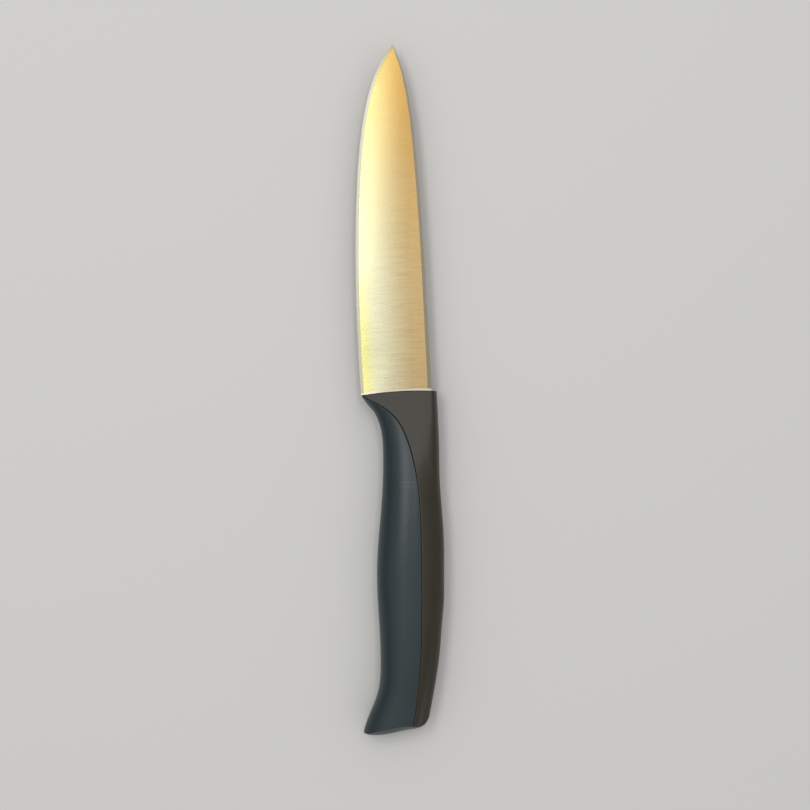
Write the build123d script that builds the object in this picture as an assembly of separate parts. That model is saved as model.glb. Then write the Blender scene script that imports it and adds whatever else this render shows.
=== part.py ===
"""A paring knife: a ground steel blade whose tang is moulded into a hard plastic core, with a softer grip
moulded over the core's belly side."""

from build123d import *
from math import degrees, hypot
import os

# All lengths are in millimetres. The knife is set out from the corner where the blade's spine meets the
# handle: X is zero there and falls towards the cutting edge, Y is zero there and rises to the tip, and Z
# is zero on the middle plane, about which the whole knife is a mirror image.

# Blade
blade_length = 101.6
blade_height = 20.6
blade_thickness = 1.5
grind_width = 16.0
grind_lead = 1.0
grind_edge_thickness = 0.46
bevel_width = 0.9
edge_thickness = 0.08
spine_ease_width = 1.1
spine_ease_depth = 0.17

# Tang, left at the thickness of the steel sheet and hidden in the handle
stock_thickness = 1.6
tang_width = 6.4
tang_length = 68.0
tang_spine_setback = 2.6
tang_nose_radius = 2.6
root_depth = 2.4
root_step = 4.1
root_radius = 0.8
tang_hole_diameter = 3.4
tang_hole_count = 3
tang_first_hole = 20.0
tang_end_margin = 8.0

# Handle, over all
handle_length = 99.0
handle_depth = 20.0
handle_thickness = 14.0
collar_bow = 0.52
heel_setback = 0.32
core_edge_radius = 0.3
butt_crown = 4.0
butt_swing_radius = 32.0

# Grip, and the tongue of the core that it is moulded over
grip_wall = 3.0
grip_edge_radius = 0.15
tongue_thickness = 5.0
tongue_lap = 1.5
tongue_end_gap = 7.0
tongue_end_radius = 4.0

# How far the surface on each side of the seam runs on past it before it is trimmed
seam_lap = 2.0

# How far a cutting shape reaches past what it cuts
overrun = 2.0

# Blade outlines: share of the way to the tip, share of blade_height from the spine
spine_shares = [(0.26, 0.004), (0.52, 0.019), (0.70, 0.050), (0.85, 0.110), (0.93, 0.181)]
edge_shares = [(0.17, 1.0), (0.36, 0.979), (0.62, 0.888), (0.79, 0.758), (0.92, 0.549), (0.975, 0.388)]
tip_share = 0.292
heel_share = 0.996

# Stations along the spine where its ease is set out, and the share of its depth that is left at the tip
ease_station_shares = [0, 0.15, 0.3, 0.45, 0.58, 0.7, 0.78, 0.85, 0.9, 0.94, 0.97, 1]
tip_ease_share = 0.5

# Stations along the handle, as shares of handle_length behind the blade
station_shares = [0.015, 0.03, 0.05, 0.08, 0.12, 0.18, 0.26, 0.36, 0.47, 0.58, 0.70, 0.80, 0.88, 0.94, 1.0,
                  1.04]

# Handle outlines in plan: share of handle_length, share of the handle's depth below the blade's spine
belly_shares = [(0.0, 1.01), (0.03, 0.916), (0.055, 0.825), (0.08, 0.776), (0.12, 0.741), (0.18, 0.744),
                (0.26, 0.777), (0.36, 0.836), (0.47, 0.908), (0.58, 0.939), (0.70, 0.936), (0.80, 0.949),
                (0.88, 1.016), (0.94, 1.15), (1.0, 1.262)]
seam_shares = [(0.0, 0.985), (0.015, 0.908), (0.03, 0.781), (0.05, 0.645), (0.08, 0.512), (0.12, 0.417),
               (0.18, 0.337), (0.26, 0.279), (0.36, 0.259), (0.58, 0.298), (0.80, 0.375), (0.94, 0.487),
               (1.0, 0.562)]
back_shares = [(0.0, -0.074), (0.15, -0.070), (0.25, -0.054), (0.42, -0.066), (0.55, -0.047), (0.67, 0.015),
               (0.80, 0.105), (0.93, 0.248), (1.0, 0.335)]
butt_shares = [(0.986, 1.238), (0.995, 1.207), (1.0, 1.085), (0.998, 0.870), (0.992, 0.700), (0.987, 0.540),
               (0.983, 0.420), (0.975, 0.350), (0.958, 0.290), (0.928, 0.215), (0.880, 0.100)]

# Handle heights above the middle plane: share of handle_length, share of handle_thickness
crest_height_shares = [(0.0, 0.277), (0.05, 0.305), (0.12, 0.342), (0.18, 0.378), (0.26, 0.430),
                       (0.36, 0.474), (0.47, 0.497), (0.58, 0.500), (0.70, 0.494), (0.85, 0.474),
                       (1.0, 0.452)]
crest_drop_shares = [(0.0, 0.015), (0.12, 0.020), (0.18, 0.030), (0.26, 0.050), (0.36, 0.065), (0.47, 0.070),
                     (1.0, 0.075)]
facet_height_shares = [(0.0, 0.271), (0.05, 0.280), (0.12, 0.300), (0.18, 0.335), (0.26, 0.408),
                       (0.36, 0.463), (0.47, 0.484), (0.58, 0.486), (0.70, 0.473), (0.85, 0.445),
                       (1.0, 0.420)]
shoulder_height_shares = [(0.0, 0.269), (0.12, 0.286), (0.20, 0.301), (0.36, 0.318), (0.58, 0.325),
                          (1.0, 0.300)]

# The same way, but across the handle: shares of its depth
crest_setback_shares = [(0.0, -0.012), (0.05, -0.03), (0.12, -0.03), (0.18, 0.0), (0.26, 0.07), (0.36, 0.125),
                        (0.47, 0.155), (1.0, 0.190)]
shoulder_inset_shares = [(0.0, 0.092), (0.08, 0.105), (0.15, 0.155), (0.26, 0.150), (0.47, 0.130),
                         (1.0, 0.130)]

# Where the handle's surfaces begin, ahead of the collar's front, as a share of handle_length
lead_share = -0.02

# Share of a rounded side's width and height at which its control points stand: 0.55 makes it an ellipse
round_share = 0.58

# Where the tongue begins, as a share of handle_length
tongue_start_share = 0.05

# Share of the way along the handle over which its depth passes from the blade's to its own
blend_share = 0.3

# Values that follow from those above
half_blade = blade_thickness / 2
half_grind = grind_edge_thickness / 2
grind_crown = grind_width + grind_lead
half_handle = handle_thickness / 2
heel = (-heel_share * blade_height, -heel_setback)
tip = (-tip_share * blade_height, blade_length - heel_setback)
heel_span = hypot(blade_height, heel_setback)
collar_radius = (heel_span**2 / 4 + collar_bow**2) / (2 * collar_bow)
collar_depth = collar_radius - collar_bow
collar_centre = (
    -blade_height / 2 + collar_depth * heel_setback / heel_span,
    -heel_setback / 2 - collar_depth * blade_height / heel_span,
)


def along(shares, at):
    """The value at a place along a list of (place, value), on a smooth curve that runs on straight at its
    ends."""
    last = len(shares) - 1

    def slope(n):
        before, after = shares[max(n - 1, 0)], shares[min(n + 1, last)]
        return (after[1] - before[1]) / (after[0] - before[0])

    for n in (0, last):
        if (at - shares[n][0]) * (1 if n else -1) >= 0:
            return shares[n][1] + slope(n) * (at - shares[n][0])
    n = next(n for n in range(last) if at < shares[n + 1][0])
    (x0, y0), (x1, y1) = shares[n], shares[n + 1]
    t = (at - x0) / (x1 - x0)
    near, far = y0 + slope(n) * (x1 - x0) / 3, y1 - slope(n + 1) * (x1 - x0) / 3
    return y0 * (1 - t) ** 3 + 3 * near * t * (1 - t) ** 2 + 3 * far * t**2 * (1 - t) + y1 * t**3


def depth(at):
    """The depth that the handle's shares are taken of: the blade's height at the front, then its own."""
    t = min(max(at / blend_share, 0), 1)
    return blade_height + (handle_depth - blade_height) * t**2 * (3 - 2 * t)


def across(shares, at):
    """A place across the handle, from a list of shares of its depth."""
    return -along(shares, at) * depth(at)


def plan_point(shares, at):
    return (across(shares, at), -at * handle_length)


def prism(outline, half_height):
    """A closed outline in plan, raised evenly to both sides of the middle plane."""
    return extrude(make_face(outline), half_height, both=True)


def mirrored_section(at, curves):
    """A face across the handle from the curves of its upper half, which start and end on the middle
    plane."""
    upper = Wire(curves)
    lower = mirror(upper, about=Plane.XY)
    return Pos(0, -at * handle_length, 0) * make_face(Curve() + upper.edges() + lower.edges())


def point(x, z):
    return Vector(x, 0, z)


def grip_section(at):
    """The grip's swell: up from the belly in one round to the crest, then down past the seam."""
    belly, seam = across(belly_shares, at), across(seam_shares, at)
    crest = seam - along(crest_setback_shares, at) * depth(at)
    height = along(crest_height_shares, at) * handle_thickness
    foot = seam + seam_lap
    low = height - along(crest_drop_shares, at) * handle_thickness
    lean = round_share * (crest - belly)
    rise = round_share * height
    swell = Bezier(point(belly, 0), point(belly, rise), point(crest - lean, height), point(crest, height))
    fall = Bezier(point(crest, height), point((crest + foot) / 2, height), point(foot, low))
    return mirrored_section(at, [swell, fall, Line(point(foot, low), point(foot, 0))])


def core_section(at):
    """The core's strip: from short of the seam down an easy slope to the shoulder, then round the back."""
    seam, back = across(seam_shares, at), across(back_shares, at)
    shoulder = back - along(shoulder_inset_shares, at) * depth(at)
    top = along(facet_height_shares, at) * handle_thickness
    low = along(shoulder_height_shares, at) * handle_thickness
    start = seam - seam_lap
    reach = shoulder - start
    pitch = (top - low) / (shoulder - seam)
    lap_share = seam_lap / (shoulder - seam)
    first_pitch = pitch * (1 / 2 - lap_share)
    high = top + pitch * seam_lap * (1 - lap_share) / 2
    middle = point(start + reach / 2, high - first_pitch * reach / 2)
    slope = Bezier(point(start, high), middle, point(shoulder, low))
    lean = round_share * (back - shoulder)
    turn = Bezier(
        point(shoulder, low),
        point(shoulder + lean, low - 3 / 2 * pitch * lean),
        point(back, round_share * low),
        point(back, 0),
    )
    return mirrored_section(at, [Line(point(start, 0), point(start, high)), slope, turn])


def collar_disc():
    """The round that the collar's front follows: the handle lies inside it and the blade outside."""
    return Pos(*collar_centre, 0) * Cylinder(collar_radius, 2 * handle_thickness)


def butt_block():
    """A block over the whole handle whose rear wall is the crowned butt end: away from the middle plane it
    swings forward, most at the beak."""
    points = [Vector(-share * handle_depth, -at * handle_length) for at, share in butt_shares]
    beak, back = points[0], points[-1]
    end = Spline(*points, tangents=[(0, -1), back - points[-2]])
    front = [(2 * handle_depth, overrun), (beak.X, overrun)]
    outline = make_face(end + Polyline(back, (2 * handle_depth, back.Y), *front, beak))
    height = half_handle + overrun
    swing = degrees(butt_crown / butt_swing_radius * (height / half_handle) ** 2)
    hinge = Pos(beak.X + butt_swing_radius, back.Y)
    swung = hinge * Rot(0, 0, -swing) * hinge.inverse() * outline
    return loft([Pos(0, 0, -height) * swung, outline, Pos(0, 0, height) * swung])


def edge_outline():
    """The cutting edge, from the heel to the tip."""
    return Spline(heel, *[(-share * blade_height, at * tip[1]) for at, share in edge_shares], tip)


def spine_outline():
    """The spine, from the collar to the tip."""
    return Spline((0, 0), *[(-share * blade_height, at * tip[1]) for at, share in spine_shares], tip)


def both_sides(cut):
    return cut + mirror(cut, about=Plane.XY)


def side_height(from_edge):
    """Half the ground blade's thickness at a distance from its cutting edge: a parabola from the bevel up
    to a crown, which stands a little above the flat so that the two meet in a line."""
    lead_part = (grind_lead / (grind_crown - bevel_width)) ** 2
    top = (half_blade - half_grind * lead_part) / (1 - lead_part)
    part = min(max((grind_crown - from_edge) / (grind_crown - bevel_width), 0), 1)
    return top - (top - half_grind) * part**2


def edge_grind():
    """What grinding takes from the sides: a narrow bevel at the edge, then a wide, slightly rounded grind
    that runs out into the flat almost level with it."""
    half_edge, top = edge_thickness / 2, side_height(grind_crown)
    high = half_blade + overrun
    bevel = Polyline((bevel_width, half_grind), (0, half_edge), (-overrun, half_edge))
    sides = Polyline((-overrun, half_edge), (-overrun, high), (grind_crown, high), (grind_crown, top))
    grind = Bezier((grind_crown, top), ((grind_crown + bevel_width) / 2, top), (bevel_width, half_grind))
    edge = edge_outline()
    first, last = edge % 0, edge % 1
    run_in = Line(edge @ 0 - first * overrun, edge @ 0)
    run_out = Line(edge @ 1, edge @ 1 + last * grind_width)
    start = Plane(run_in @ 0, x_dir=(first.Y, -first.X, 0), z_dir=first)
    section = start * make_face(bevel + sides + grind)
    return both_sides(sweep(section, Wire([run_in, edge, run_out])))


def ease_section(spine, edge, at):
    """The wedge taken off a corner of the spine, at a place along it. It keeps its pitch and grows narrower
    towards the tip."""
    place, direction = spine @ at, spine % at
    pitch = spine_ease_depth / spine_ease_width
    depth_left = spine_ease_depth * (1 - (1 - tip_ease_share) * at)
    height = side_height(edge.distance_to(Vertex(place))) - depth_left
    low, high = height - pitch * overrun, height + pitch * (spine_ease_width + overrun)
    wedge = Polyline((-overrun, low), (spine_ease_width + overrun, high), (-overrun, high), close=True)
    return Plane(place, x_dir=(-direction.Y, direction.X, 0), z_dir=direction) * make_face(wedge)


def spine_ease():
    """What is taken off the two corners of the spine."""
    spine, edge = spine_outline(), edge_outline()
    sections = [ease_section(spine, edge, at) for at in ease_station_shares]
    first, last = sections[0], sections[-1]
    first = Pos(spine % 0 * -overrun) * first
    last = Pos(spine % 1 * overrun) * last
    return both_sides(loft([first, *sections, last], ruled=True))


def tang():
    """The steel behind the collar's front: a full-height root, then a narrower tang with holes for the
    plastic to lock through."""
    spine_side, belly_side = -tang_spine_setback, -tang_spine_setback - tang_width
    root_side = belly_side - root_step
    outline = Polyline(
        (0, overrun),
        (0, -root_depth),
        (spine_side, -root_depth),
        (spine_side, -tang_length),
        (belly_side, -tang_length),
        (belly_side, -root_depth),
        (root_side, -root_depth),
        (root_side, overrun),
        close=True,
    )
    blank = prism(outline, stock_thickness / 2) & collar_disc()
    uprights = blank.edges().filter_by(Axis.Z).group_by(Axis.Y)
    blank = fillet(uprights[0], tang_nose_radius)
    uprights = blank.edges().filter_by(Axis.Z)
    steps = [edge for edge in uprights if abs(edge.center().Y + root_depth) < root_radius]
    blank = fillet(steps, root_radius)
    pitch = (tang_length - tang_end_margin - tang_first_hole) / (tang_hole_count - 1)
    for n in range(tang_hole_count):
        place = Pos((spine_side + belly_side) / 2, -tang_first_hole - n * pitch, 0)
        blank -= place * Cylinder(tang_hole_diameter / 2, 2 * stock_thickness)
    return blank


def make_blade():
    """The blade: a profile cut from sheet, its spine eased and its sides ground to the edge."""
    rear = Polyline(heel, (heel[0], -overrun), (0, -overrun), (0, 0))
    plate = prism(edge_outline() + rear + spine_outline(), half_blade)
    return plate - spine_ease() - edge_grind() - collar_disc() + tang()


def seam_line():
    """The line in plan where the grip meets the core, from ahead of the heel to past the butt."""
    return Spline(*[plan_point(seam_shares, at) for at in (lead_share, 0, *station_shares)])


def side_of_seam(reach):
    """Everything on one side of the seam, out to a distance across the handle."""
    seam = seam_line()
    start, end = seam @ 0, seam @ 1
    return prism(seam + Polyline(end, (reach, end.Y), (reach, start.Y), start), handle_thickness)


def make_tongue():
    """The part of the core that reaches into the grip."""
    last = 1 - tongue_end_gap / handle_length
    stations = [at for at in station_shares if tongue_start_share < at < last]
    stations = [tongue_start_share, *stations, last]
    belly = [(across(belly_shares, at) + grip_wall, -at * handle_length) for at in stations]
    root = [(across(seam_shares, at) + tongue_lap, -at * handle_length) for at in stations]
    outline = Spline(*belly) + Line(belly[-1], root[-1]) + Spline(*root) + Line(root[0], belly[0])
    tongue = prism(outline, tongue_thickness / 2)
    corner = tongue.edges().filter_by(Axis.Z).group_by(Axis.Y)[0].sort_by(Axis.X)[0]
    return fillet(corner, tongue_end_radius)


def eased_edges(shape, radius):
    """The same shape with the long edges of its outside rounded over, at its ends and along the seam."""
    edges = [edge for edge in shape.edges() if edge.length > handle_thickness]
    return fillet([edge for edge in edges if edge.bounding_box().size.Z > radius], radius)


def make_core(blade, tongue):
    """The hard core: the collar round the blade's root, the strip along the back, and the tongue."""
    body = loft([core_section(at) for at in (lead_share, 0, *station_shares)])
    body = body & side_of_seam(2 * handle_depth) & collar_disc() & butt_block()
    return eased_edges(body, core_edge_radius) + tongue - blade


def make_grip(tongue):
    """The grip: the swell of the belly side, moulded round the tongue."""
    body = loft([grip_section(at) for at in (heel_setback / handle_length, *station_shares)])
    body = body & side_of_seam(-2 * handle_depth) & butt_block()
    return eased_edges(body, grip_edge_radius) - tongue


blade = make_blade()
tongue = make_tongue()
core = make_core(blade, tongue)
grip = make_grip(tongue)

nodes = {"blade": blade, "handle_core": core, "grip": grip}
box = Compound(children=[Compound(shape.solids()) for shape in nodes.values()]).bounding_box()
place = Pos(-(box.min.X + box.max.X) / 2, -(box.min.Y + box.max.Y) / 2, -box.min.Z)
os.makedirs("parts", exist_ok=True)
for name, shape in nodes.items():
    print(name, len(shape.solids()), round(shape.volume, 1))
    export_step(place * shape, f"parts/{name}.step")
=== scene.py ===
"""A paring knife on a pale studio floor: the finish of its ground steel blade, its hard plastic core and the
softer grip moulded over it."""

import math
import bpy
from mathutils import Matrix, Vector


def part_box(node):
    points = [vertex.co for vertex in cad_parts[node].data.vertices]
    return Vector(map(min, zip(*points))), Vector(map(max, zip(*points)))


bl_info = {
    "name": "Paring Knife",
    "version": (1, 0, 0),
    "blender": (4, 5, 0),
    "location": "3D View > Sidebar > Knife",
    "description": "Finishes the pieces of a paring knife and sets it on a studio floor",
    "category": "Object",
}

import bpy
from mathutils import Euler, Vector

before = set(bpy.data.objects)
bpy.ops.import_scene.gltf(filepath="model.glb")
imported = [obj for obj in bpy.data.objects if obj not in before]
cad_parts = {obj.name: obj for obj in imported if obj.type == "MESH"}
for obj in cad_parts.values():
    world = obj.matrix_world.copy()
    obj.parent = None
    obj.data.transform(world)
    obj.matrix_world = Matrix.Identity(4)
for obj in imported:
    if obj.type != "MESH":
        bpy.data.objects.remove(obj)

MM = 0.001

# The photograph: its side in pixels, how much of the knife's own plane one pixel covers, and how the knife
# lies in it
IMAGE_SIDE = 810
PIXEL_SIZE = 0.2907 * MM
PHOTO_CENTRE = Vector((3.71, -4.86, 7.0)) * MM
PHOTO_TURN = math.radians(-3.0)

# The arc that the collar's front follows across the blade
BLADE_LENGTH = 101.6 * MM
HEEL_SETBACK = 0.32 * MM
COLLAR_BOW = 0.52 * MM

# Where the painted reflections in the steel's colour drift: to the spine's, in shares of the way from edge to
# spine, and then to the tip's and away from the streak's, in shares of the tip's Y
SPINE_SHARES = (0.26, 0.92)
TIP_SHARES = (0.2, 1.1)
STREAK_SHARES = (0.12, 0.45)

# The share of the painted reflection streak's width that keeps its full colour
STREAK_CORE_SHARE = 0.25

# How far the normals of the honed bevel and of the eased spine lean from upright, and how far from that still
# counts. The grind leans less.
EASED_LEAN = 0.18
LEAN_SPREAD = 0.05

# How much longer the steel's highlights are across its grinding lines, as Blender counts it
ANISOTROPY = 0.6

# How far the roughness drifts either way, and by what share the mouldings' colour does
STEEL_ROUGHNESS_DRIFT = 0.04
MOULDING_ROUGHNESS_DRIFT = 0.03
MOULDING_COLOUR_DRIFT = 0.1

# Where most values of Blender's noise lie
NOISE_SPAN = (0.3, 0.7)

# Two faint painted highlights: thin paler lines that cross the grip's upper side
GLINT_CENTRE = Vector((3.5, -27.7)) * MM
GLINT_OFFSET = 0.61 * MM
GLINT_WIDTH = 0.36 * MM
GLINT_LENGTH = 5.0 * MM

# The roller's mottle in the floor's paint
MOTTLE_SIZE = 3.0 * MM
MOTTLE_DEPTH = 0.02 * MM
MOTTLE_STRENGTH = 0.3

# The Z of a direction at which the light from the horizon starts to rise, and at which it is the light from
# overhead
SKY_RISE = (0.2, 0.7)

# The lamps hang level above the knife: one on each side of the camera, and a faint one between them towards
# the tip. Name, centre and size in metres, and radiance.
LAMPS = (
    ("key", (-0.30, 0.26, 1.0), (0.24, 0.52), 5.9),
    ("fill", (0.18, 0.26, 1.0), (0.14, 0.52), 5.4),
    ("veil", (-0.10, 0.36, 1.0), (0.16, 0.36), 1.35),
)


def linear(hex_colour):
    """An sRGB colour such as D8D2C4 as linear red, green and blue."""
    shares = [int(hex_colour[n : n + 2], 16) / 255 for n in (0, 2, 4)]
    return tuple(s / 12.92 if s <= 0.04045 else ((s + 0.055) / 1.055) ** 2.4 for s in shares)


def colour_property(name, description, hex_colour):
    return bpy.props.FloatVectorProperty(
        name=name, description=description, subtype="COLOR", size=3, min=0, max=1, default=linear(hex_colour)
    )


def length_property(name, description, millimetres):
    return bpy.props.FloatProperty(
        name=name, description=description, unit="LENGTH", precision=5, min=0, default=millimetres * MM
    )


def share_property(name, description, share):
    return bpy.props.FloatProperty(
        name=name, description=description, subtype="FACTOR", min=0, max=1, default=share
    )


class KnifeBladeFinish(bpy.types.PropertyGroup):
    colour: colour_property("Steel", "Colour of the ground steel at the cutting edge", "C7C3A3")
    # Painted reflection: the steel's colour drifts from paler at the edge to darker and warmer at the spine
    spine_reflection_colour: colour_property("Steel at spine", "Colour that the steel drifts to at the spine", "B69B6D")
    # Painted reflection: the steel's colour is tinted warmer and yellower towards the tip
    tip_reflection_tint: colour_property("Tint at tip", "What the steel's colour is multiplied by at the tip", "FCE8AE")
    # Painted reflection: a yellower streak along the edge near the heel
    streak_reflection_tint: colour_property(
        "Streak tint", "What the steel's colour is multiplied by along the edge near the heel", "FFFFC6"
    )
    reflection_streak_width: length_property("Streak width", "Width of the yellower streak along the edge", 5.6)
    bevel_colour: colour_property("Bevel", "Colour of the honed bevel along the edge", "ACA89E")
    eased_colour: colour_property("Eased spine", "Colour of the spine's eased corners", "8A7F68")
    strip_colour: colour_property("Strip", "Colour of the lighter strip along the collar", "D2C7AE")
    collar_strip: length_property("Collar strip", "Width of the lighter strip along the collar", 0.6)
    line_spacing: length_property("Line spacing", "Distance between the grinding lines that show", 0.45)
    line_length: length_property("Line length", "How far one grinding line runs across the blade", 9.0)
    line_depth: length_property("Line depth", "Depth of the grinding lines", 0.0015)
    roughness: share_property("Roughness", "Roughness of the ground sides", 0.27)
    bevel_roughness: share_property("Bevel roughness", "Roughness of the honed bevel and eased spine", 0.32)


class KnifeCoreFinish(bpy.types.PropertyGroup):
    colour: colour_property("Plastic", "Colour of the hard plastic", "2B2719")
    texture_size: length_property("Texture size", "Grain of the moulded texture", 0.35)
    patch_size: length_property("Patch size", "Size of the patches that handling leaves", 14.0)
    texture_depth: length_property("Texture depth", "Depth of the moulded texture", 0.004)
    roughness: share_property("Roughness", "Roughness of the plastic", 0.40)


class KnifeGripFinish(bpy.types.PropertyGroup):
    colour: colour_property("Elastomer", "Colour of the soft grip", "182A2E")
    # Painted highlight: two faint paler lines across the grip's upper side
    glint_colour: colour_property("Painted glints", "Colour of the two faint lines across the grip", "2E393B")
    texture_size: length_property("Texture size", "Grain of the moulded texture", 0.5)
    patch_size: length_property("Patch size", "Size of the patches that handling leaves", 20.0)
    texture_depth: length_property("Texture depth", "Depth of the moulded texture", 0.004)
    roughness: share_property("Roughness", "Roughness of the grip", 0.36)


class KnifeStage(bpy.types.PropertyGroup):
    floor_colour: colour_property("Floor", "Colour of the painted floor", "D6D5D2")
    floor_side: length_property("Floor side", "Side of the square floor", 6000.0)
    camera_distance: length_property("Camera distance", "From the lens to the knife", 465.0)
    light: share_property("Overhead light", "Brightness of the even light from overhead", 0.7)
    horizon: share_property("Horizon light", "Brightness that the overhead light fades to", 0.25)
    backdrop: share_property("Backdrop", "Brightness of the backdrop past the floor", 0.75)


def add_node(tree, kind, inputs=None, **settings):
    """A new node with its settings. Each input, by name or number, gets a value or the output that feeds
    it."""
    node = tree.nodes.new(kind)
    for name, value in settings.items():
        setattr(node, name, value)
    for name, value in (inputs or {}).items():
        if isinstance(value, bpy.types.NodeSocket):
            tree.links.new(value, node.inputs[name])
        else:
            node.inputs[name].default_value = value
    return node


def calculate(tree, operation, *values):
    return add_node(tree, "ShaderNodeMath", dict(enumerate(values)), operation=operation).outputs[0]


def calculate_vector(tree, operation, *values):
    node = add_node(tree, "ShaderNodeVectorMath", dict(enumerate(values)), operation=operation)
    return node.outputs["Value" if operation in ("LENGTH", "DISTANCE") else "Vector"]


def mix_colours(tree, share, first, second, blend_type="MIX"):
    return add_node(
        tree,
        "ShaderNodeMix",
        {0: share, 6: first, 7: second},
        data_type="RGBA",
        blend_type=blend_type,
    ).outputs[2]


def mix_numbers(tree, share, first, second):
    return add_node(tree, "ShaderNodeMix", {0: share, 2: first, 3: second}, data_type="FLOAT").outputs[0]


def ramp(tree, value, start, end, low=0.0, high=1.0, interpolation_type="SMOOTHSTEP"):
    """What goes from low to high while the value goes from start to end."""
    return add_node(
        tree,
        "ShaderNodeMapRange",
        {"Value": value, "From Min": start, "From Max": end, "To Min": low, "To Max": high},
        interpolation_type=interpolation_type,
    ).outputs[0]


def spread(tree, noise_value, middle, drift):
    """A noise value, which keeps near its own middle, spread over the drift to both sides of this middle."""
    return ramp(tree, noise_value, *NOISE_SPAN, middle - drift, middle + drift, interpolation_type="LINEAR")


def noise(tree, place, scale, detail, roughness=0.5):
    return add_node(
        tree,
        "ShaderNodeTexNoise",
        {"Vector": place, "Scale": scale, "Detail": detail, "Roughness": roughness},
    ).outputs[0]


def relief(tree, height, depth, strength=1.0):
    """The normal of a surface that a height from 0 to 1 raises by the depth."""
    return add_node(
        tree, "ShaderNodeBump", {"Height": height, "Strength": strength, "Distance": depth}
    ).outputs[0]


def new_material(name):
    """A new material, its empty tree, and the coordinates of the piece that it is on, in metres."""
    material = bpy.data.materials.new(name)
    material.use_nodes = True
    tree = material.node_tree
    tree.nodes.clear()
    return material, tree, add_node(tree, "ShaderNodeTexCoord")


def finish_material(tree, inputs):
    """Makes the material one principled surface with these inputs."""
    shader = add_node(tree, "ShaderNodeBsdfPrincipled", inputs)
    add_node(tree, "ShaderNodeOutputMaterial", {"Surface": shader.outputs[0]})


def opaque(colour):
    return (*colour, 1)


def heel_span():
    low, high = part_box("blade")
    return math.hypot(high.x - low.x, HEEL_SETBACK)


def collar_radius():
    return (heel_span() ** 2 / 4 + COLLAR_BOW**2) / (2 * COLLAR_BOW)


def from_collar_centre(tree, x, y):
    """How far a point of the blade lies from the centre of the collar's arc."""
    low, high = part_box("blade")
    height, depth = high.x - low.x, collar_radius() - COLLAR_BOW
    centre_x = high.x - height / 2 + depth * HEEL_SETBACK / heel_span()
    centre_y = high.y - BLADE_LENGTH + HEEL_SETBACK / 2 - depth * height / heel_span()
    flat = add_node(tree, "ShaderNodeCombineXYZ", {"X": x, "Y": y})
    return calculate_vector(tree, "DISTANCE", flat.outputs[0], (centre_x, centre_y, 0))


def steel_colour_with_reflections(tree, x, y, finish):
    """The colour of the ground steel with painted reflections in it: paler at the edge and darker and warmer
    towards the spine, warmer to the tip and yellower in a streak along the edge near the heel, all painted
    reflection; and how far it has drifted to the spine's."""
    low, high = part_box("blade")
    to_spine = ramp(tree, x, *[low.x + share * (high.x - low.x) for share in SPINE_SHARES])
    # Painted reflection: paler at the edge, darker and warmer towards the spine
    colour = mix_colours(tree, to_spine, opaque(finish.colour), opaque(finish.spine_reflection_colour))
    to_tip = ramp(tree, y, *[share * high.y for share in TIP_SHARES])
    # Painted reflection: warmer and yellower towards the tip
    colour = mix_colours(tree, to_tip, colour, opaque(finish.tip_reflection_tint), "MULTIPLY")
    # Painted reflection: a yellower streak along the edge near the heel
    streak_core = low.x + STREAK_CORE_SHARE * finish.reflection_streak_width
    by_edge = ramp(tree, x, streak_core, low.x + finish.reflection_streak_width, 1.0, 0.0)
    by_heel = ramp(tree, y, *[share * high.y for share in STREAK_SHARES], 1.0, 0.0)
    streak = calculate(tree, "MULTIPLY", by_edge, by_heel)
    return mix_colours(tree, streak, colour, opaque(finish.streak_reflection_tint), "MULTIPLY"), to_spine


def ground_stainless_steel(finish):
    """Stainless steel ground across its width on a fine belt: a satin metal with faint lines across it, drawn
    coarser than they are so that they show. Its colour carries painted reflections: it shades from the edge
    to a darker, warmer spine and tip and yellows in a streak along the edge near the heel. The honed bevel is
    neutral, the eased spine darker, and a strip along the collar paler."""
    material, tree, place = new_material("ground_stainless_steel")
    parts = add_node(tree, "ShaderNodeSeparateXYZ", {0: place.outputs["Object"]})
    x, y = parts.outputs["X"], parts.outputs["Y"]
    # The steel's colour with its painted reflections
    steel, to_spine = steel_colour_with_reflections(tree, x, y, finish)
    sideways = calculate_vector(tree, "MULTIPLY", place.outputs["Normal"], (1, 1, 0))
    lean = calculate_vector(tree, "LENGTH", sideways)
    eased = calculate(tree, "COMPARE", lean, EASED_LEAN, LEAN_SPREAD)
    corner = mix_colours(tree, to_spine, opaque(finish.bevel_colour), opaque(finish.eased_colour))
    colour = mix_colours(tree, eased, steel, corner)
    half_strip = finish.collar_strip / 2
    from_centre = from_collar_centre(tree, x, y)
    by_collar = calculate(tree, "COMPARE", from_centre, collar_radius() + half_strip, half_strip)
    colour = mix_colours(tree, by_collar, colour, opaque(finish.strip_colour))
    stretch = (1 / finish.line_length, 1 / finish.line_spacing, 1 / finish.line_length)
    stretched = calculate_vector(tree, "MULTIPLY", place.outputs["Object"], stretch)
    lines = noise(tree, stretched, 1.0, detail=4.0, roughness=0.65)
    dull = spread(tree, lines, finish.roughness, STEEL_ROUGHNESS_DRIFT)
    finish_material(
        tree,
        {
            "Base Color": colour,
            "Metallic": 1.0,
            "Roughness": mix_numbers(tree, eased, dull, finish.bevel_roughness),
            "Anisotropic": ANISOTROPY,
            "Tangent": calculate_vector(tree, "CROSS_PRODUCT", place.outputs["Normal"], (1, 0, 0)),
            "Normal": relief(tree, lines, finish.line_depth),
        },
    )
    return material


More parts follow.
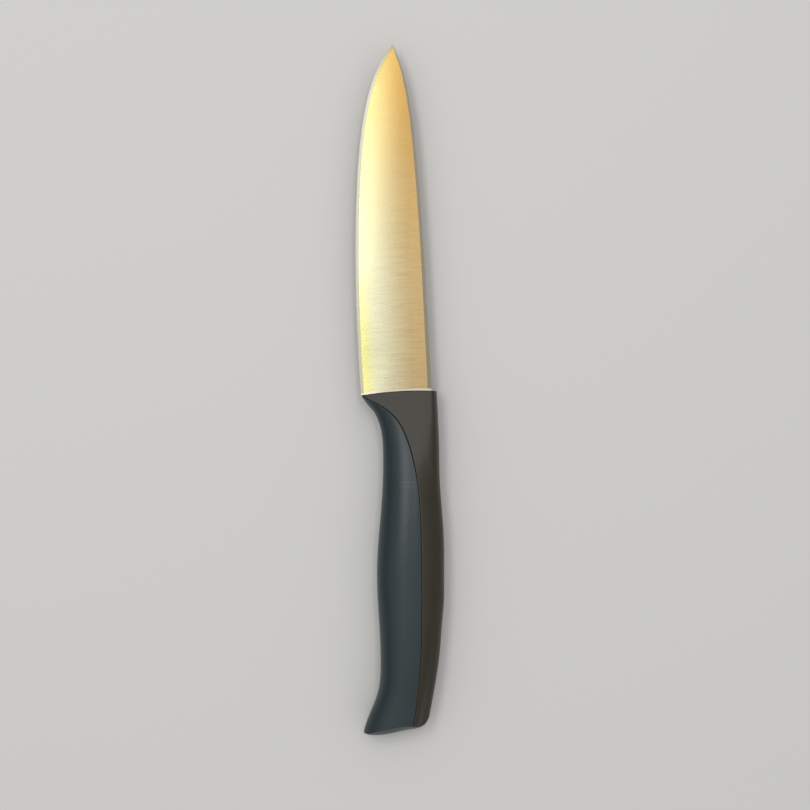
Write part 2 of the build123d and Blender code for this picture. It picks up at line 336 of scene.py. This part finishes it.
def moulded_surface(tree, place, finish):
    """What the core and the grip share: the fine grain of a spark-eroded mould, drawn coarser than it is so
    that it shows, and broad patches a little darker or duller from handling. Gives the colour, the roughness
    and the normal."""
    grain = noise(tree, place.outputs["Object"], 1 / finish.texture_size, detail=3.0)
    handled = noise(tree, place.outputs["Object"], 1 / finish.patch_size, detail=3.0)
    tint = add_node(
        tree,
        "ShaderNodeVectorMath",
        {0: tuple(finish.colour), "Scale": spread(tree, handled, 1.0, MOULDING_COLOUR_DRIFT)},
        operation="SCALE",
    )
    dull = spread(tree, handled, finish.roughness, MOULDING_ROUGHNESS_DRIFT)
    return tint.outputs[0], dull, relief(tree, grain, finish.texture_depth)


def moulded_polypropylene(finish):
    """Black polypropylene from a spark-eroded mould: hard, satin and a little warm."""
    material, tree, place = new_material("moulded_polypropylene")
    tint, dull, normal = moulded_surface(tree, place, finish)
    finish_material(tree, {"Base Color": tint, "Roughness": dull, "IOR": 1.49, "Normal": normal})
    return material


def painted_glint_lines(tree, place):
    """Where the two faint painted highlights lie on the grip: 1 on them and 0 elsewhere."""
    low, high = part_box("grip")
    parts = add_node(tree, "ShaderNodeSeparateXYZ", {0: place.outputs["Object"]})
    along = calculate(tree, "SUBTRACT", parts.outputs["Y"], GLINT_CENTRE.y)
    aside = calculate(tree, "ABSOLUTE", along)
    on_line = calculate(tree, "COMPARE", aside, GLINT_OFFSET, GLINT_WIDTH / 2)
    within = calculate(tree, "COMPARE", parts.outputs["X"], GLINT_CENTRE.x, GLINT_LENGTH / 2)
    upper = calculate(tree, "GREATER_THAN", parts.outputs["Z"], (low.z + high.z) / 2)
    return calculate(tree, "MULTIPLY", calculate(tree, "MULTIPLY", on_line, within), upper)


def moulded_elastomer(finish):
    """Black thermoplastic elastomer moulded over the core: softer than the core, with a broad bluish gloss,
    and two faint paler lines across its upper side, which are painted highlights."""
    material, tree, place = new_material("moulded_elastomer")
    tint, dull, normal = moulded_surface(tree, place, finish)
    # Painted highlights: two faint paler lines across the upper side
    colour = mix_colours(tree, painted_glint_lines(tree, place), tint, opaque(finish.glint_colour))
    finish_material(tree, {"Base Color": colour, "Roughness": dull, "IOR": 1.5, "Normal": normal})
    return material


def painted_floor(stage):
    """Matt emulsion on a smooth board: pale, with the roller's faint mottle."""
    material, tree, place = new_material("painted_floor")
    mottle = noise(tree, place.outputs["Object"], 1 / MOTTLE_SIZE, detail=2.0)
    normal = relief(tree, mottle, MOTTLE_DEPTH, MOTTLE_STRENGTH)
    finish_material(
        tree, {"Base Color": opaque(stage.floor_colour), "Roughness": 0.7, "IOR": 1.45, "Normal": normal}
    )
    return material


def dress(node, material):
    """Gives a piece of the knife its finish."""
    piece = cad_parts[node]
    piece.data.materials.clear()
    piece.data.materials.append(material)


class KNIFE_OT_blade(bpy.types.Operator):
    """Finish the blade as ground stainless steel"""

    bl_idname = "knife.blade"
    bl_label = "Finish Blade"

    def execute(self, context):
        dress("blade", ground_stainless_steel(context.scene.knife_blade_finish))
        return {"FINISHED"}


class KNIFE_OT_core(bpy.types.Operator):
    """Finish the handle's core as moulded polypropylene"""

    bl_idname = "knife.core"
    bl_label = "Finish Core"

    def execute(self, context):
        dress("handle_core", moulded_polypropylene(context.scene.knife_core_finish))
        return {"FINISHED"}


class KNIFE_OT_grip(bpy.types.Operator):
    """Finish the grip as moulded elastomer"""

    bl_idname = "knife.grip"
    bl_label = "Finish Grip"

    def execute(self, context):
        dress("grip", moulded_elastomer(context.scene.knife_grip_finish))
        return {"FINISHED"}


def add_floor(stage):
    half = stage.floor_side / 2
    corners = [(-half, -half, 0), (half, -half, 0), (half, half, 0), (-half, half, 0)]
    mesh = bpy.data.meshes.new("floor")
    mesh.from_pydata(corners, [], [(0, 1, 2, 3)])
    floor = bpy.data.objects.new("floor", mesh)
    mesh.materials.append(painted_floor(stage))
    bpy.context.scene.collection.objects.link(floor)


def add_softbox(name, centre, size, radiance):
    """A rectangular lamp that hangs level above the knife, as bright to look at as radiance says."""
    lamp = bpy.data.lights.new(name, "AREA")
    lamp.shape = "RECTANGLE"
    lamp.size, lamp.size_y = size
    lamp.energy = math.pi * radiance * size[0] * size[1]
    holder = bpy.data.objects.new(name, lamp)
    holder.location = centre
    bpy.context.scene.collection.objects.link(holder)


def light_world(stage):
    """Even light from overhead that fades to the horizon, with a pale backdrop where the camera sees past the
    floor."""
    world = bpy.data.worlds.new("studio")
    world.use_nodes = True
    tree = world.node_tree
    tree.nodes.clear()
    ray = add_node(tree, "ShaderNodeLightPath")
    place = add_node(tree, "ShaderNodeTexCoord")
    up = add_node(tree, "ShaderNodeSeparateXYZ", {0: place.outputs["Generated"]})
    sky = ramp(tree, up.outputs["Z"], *SKY_RISE, stage.horizon, stage.light)
    seen = mix_numbers(tree, ray.outputs["Is Camera Ray"], sky, stage.backdrop)
    shader = add_node(tree, "ShaderNodeBackground", {"Color": (1, 1, 1, 1), "Strength": seen})
    add_node(tree, "ShaderNodeOutputWorld", {"Surface": shader.outputs[0]})
    bpy.context.scene.world = world


def add_camera(stage):
    """The camera straight above the knife, as far off as makes the photograph's perspective."""
    camera = bpy.data.cameras.new("camera")
    camera.sensor_width = 36.0
    camera.lens = camera.sensor_width * stage.camera_distance / (IMAGE_SIDE * PIXEL_SIZE)
    holder = bpy.data.objects.new("camera", camera)
    holder.location = PHOTO_CENTRE + Vector((0, 0, stage.camera_distance))
    holder.rotation_euler = Euler((0, 0, PHOTO_TURN))
    bpy.context.scene.collection.objects.link(holder)
    bpy.context.scene.camera = holder


class KNIFE_OT_stage(bpy.types.Operator):
    """Set the floor, the lamps and the camera"""

    bl_idname = "knife.stage"
    bl_label = "Set Stage"

    def execute(self, context):
        stage = context.scene.knife_stage
        add_floor(stage)
        for name, centre, size, radiance in LAMPS:
            add_softbox(name, centre, size, radiance)
        light_world(stage)
        add_camera(stage)
        context.scene.view_settings.view_transform = "Standard"
        return {"FINISHED"}


class KNIFE_PT_panel(bpy.types.Panel):
    """The knife's pieces and their finishes"""

    bl_idname = "KNIFE_PT_panel"
    bl_label = "Paring Knife"
    bl_space_type = "VIEW_3D"
    bl_region_type = "UI"
    bl_category = "Knife"

    def draw(self, context):
        for operator, name, group in STEPS:
            column = self.layout.column()
            column.operator(operator.bl_idname)
            settings = getattr(context.scene, name)
            for setting in group.__annotations__:
                column.prop(settings, setting)


# Each operator, with the name and the class of its settings
STEPS = (
    (KNIFE_OT_blade, "knife_blade_finish", KnifeBladeFinish),
    (KNIFE_OT_core, "knife_core_finish", KnifeCoreFinish),
    (KNIFE_OT_grip, "knife_grip_finish", KnifeGripFinish),
    (KNIFE_OT_stage, "knife_stage", KnifeStage),
)
GROUPS = {name: group for operator, name, group in STEPS}
CLASSES = (*GROUPS.values(), *[operator for operator, name, group in STEPS], KNIFE_PT_panel)


def register():
    for cls in CLASSES:
        bpy.utils.register_class(cls)
    for name, group in GROUPS.items():
        setattr(bpy.types.Scene, name, bpy.props.PointerProperty(type=group))


def unregister():
    for name in GROUPS:
        delattr(bpy.types.Scene, name)
    for cls in reversed(CLASSES):
        bpy.utils.unregister_class(cls)


def main():
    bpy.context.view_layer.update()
    register()
    bpy.ops.knife.blade()
    bpy.ops.knife.core()
    bpy.ops.knife.grip()
    bpy.ops.knife.stage()


if __name__ == "__main__":
    main()
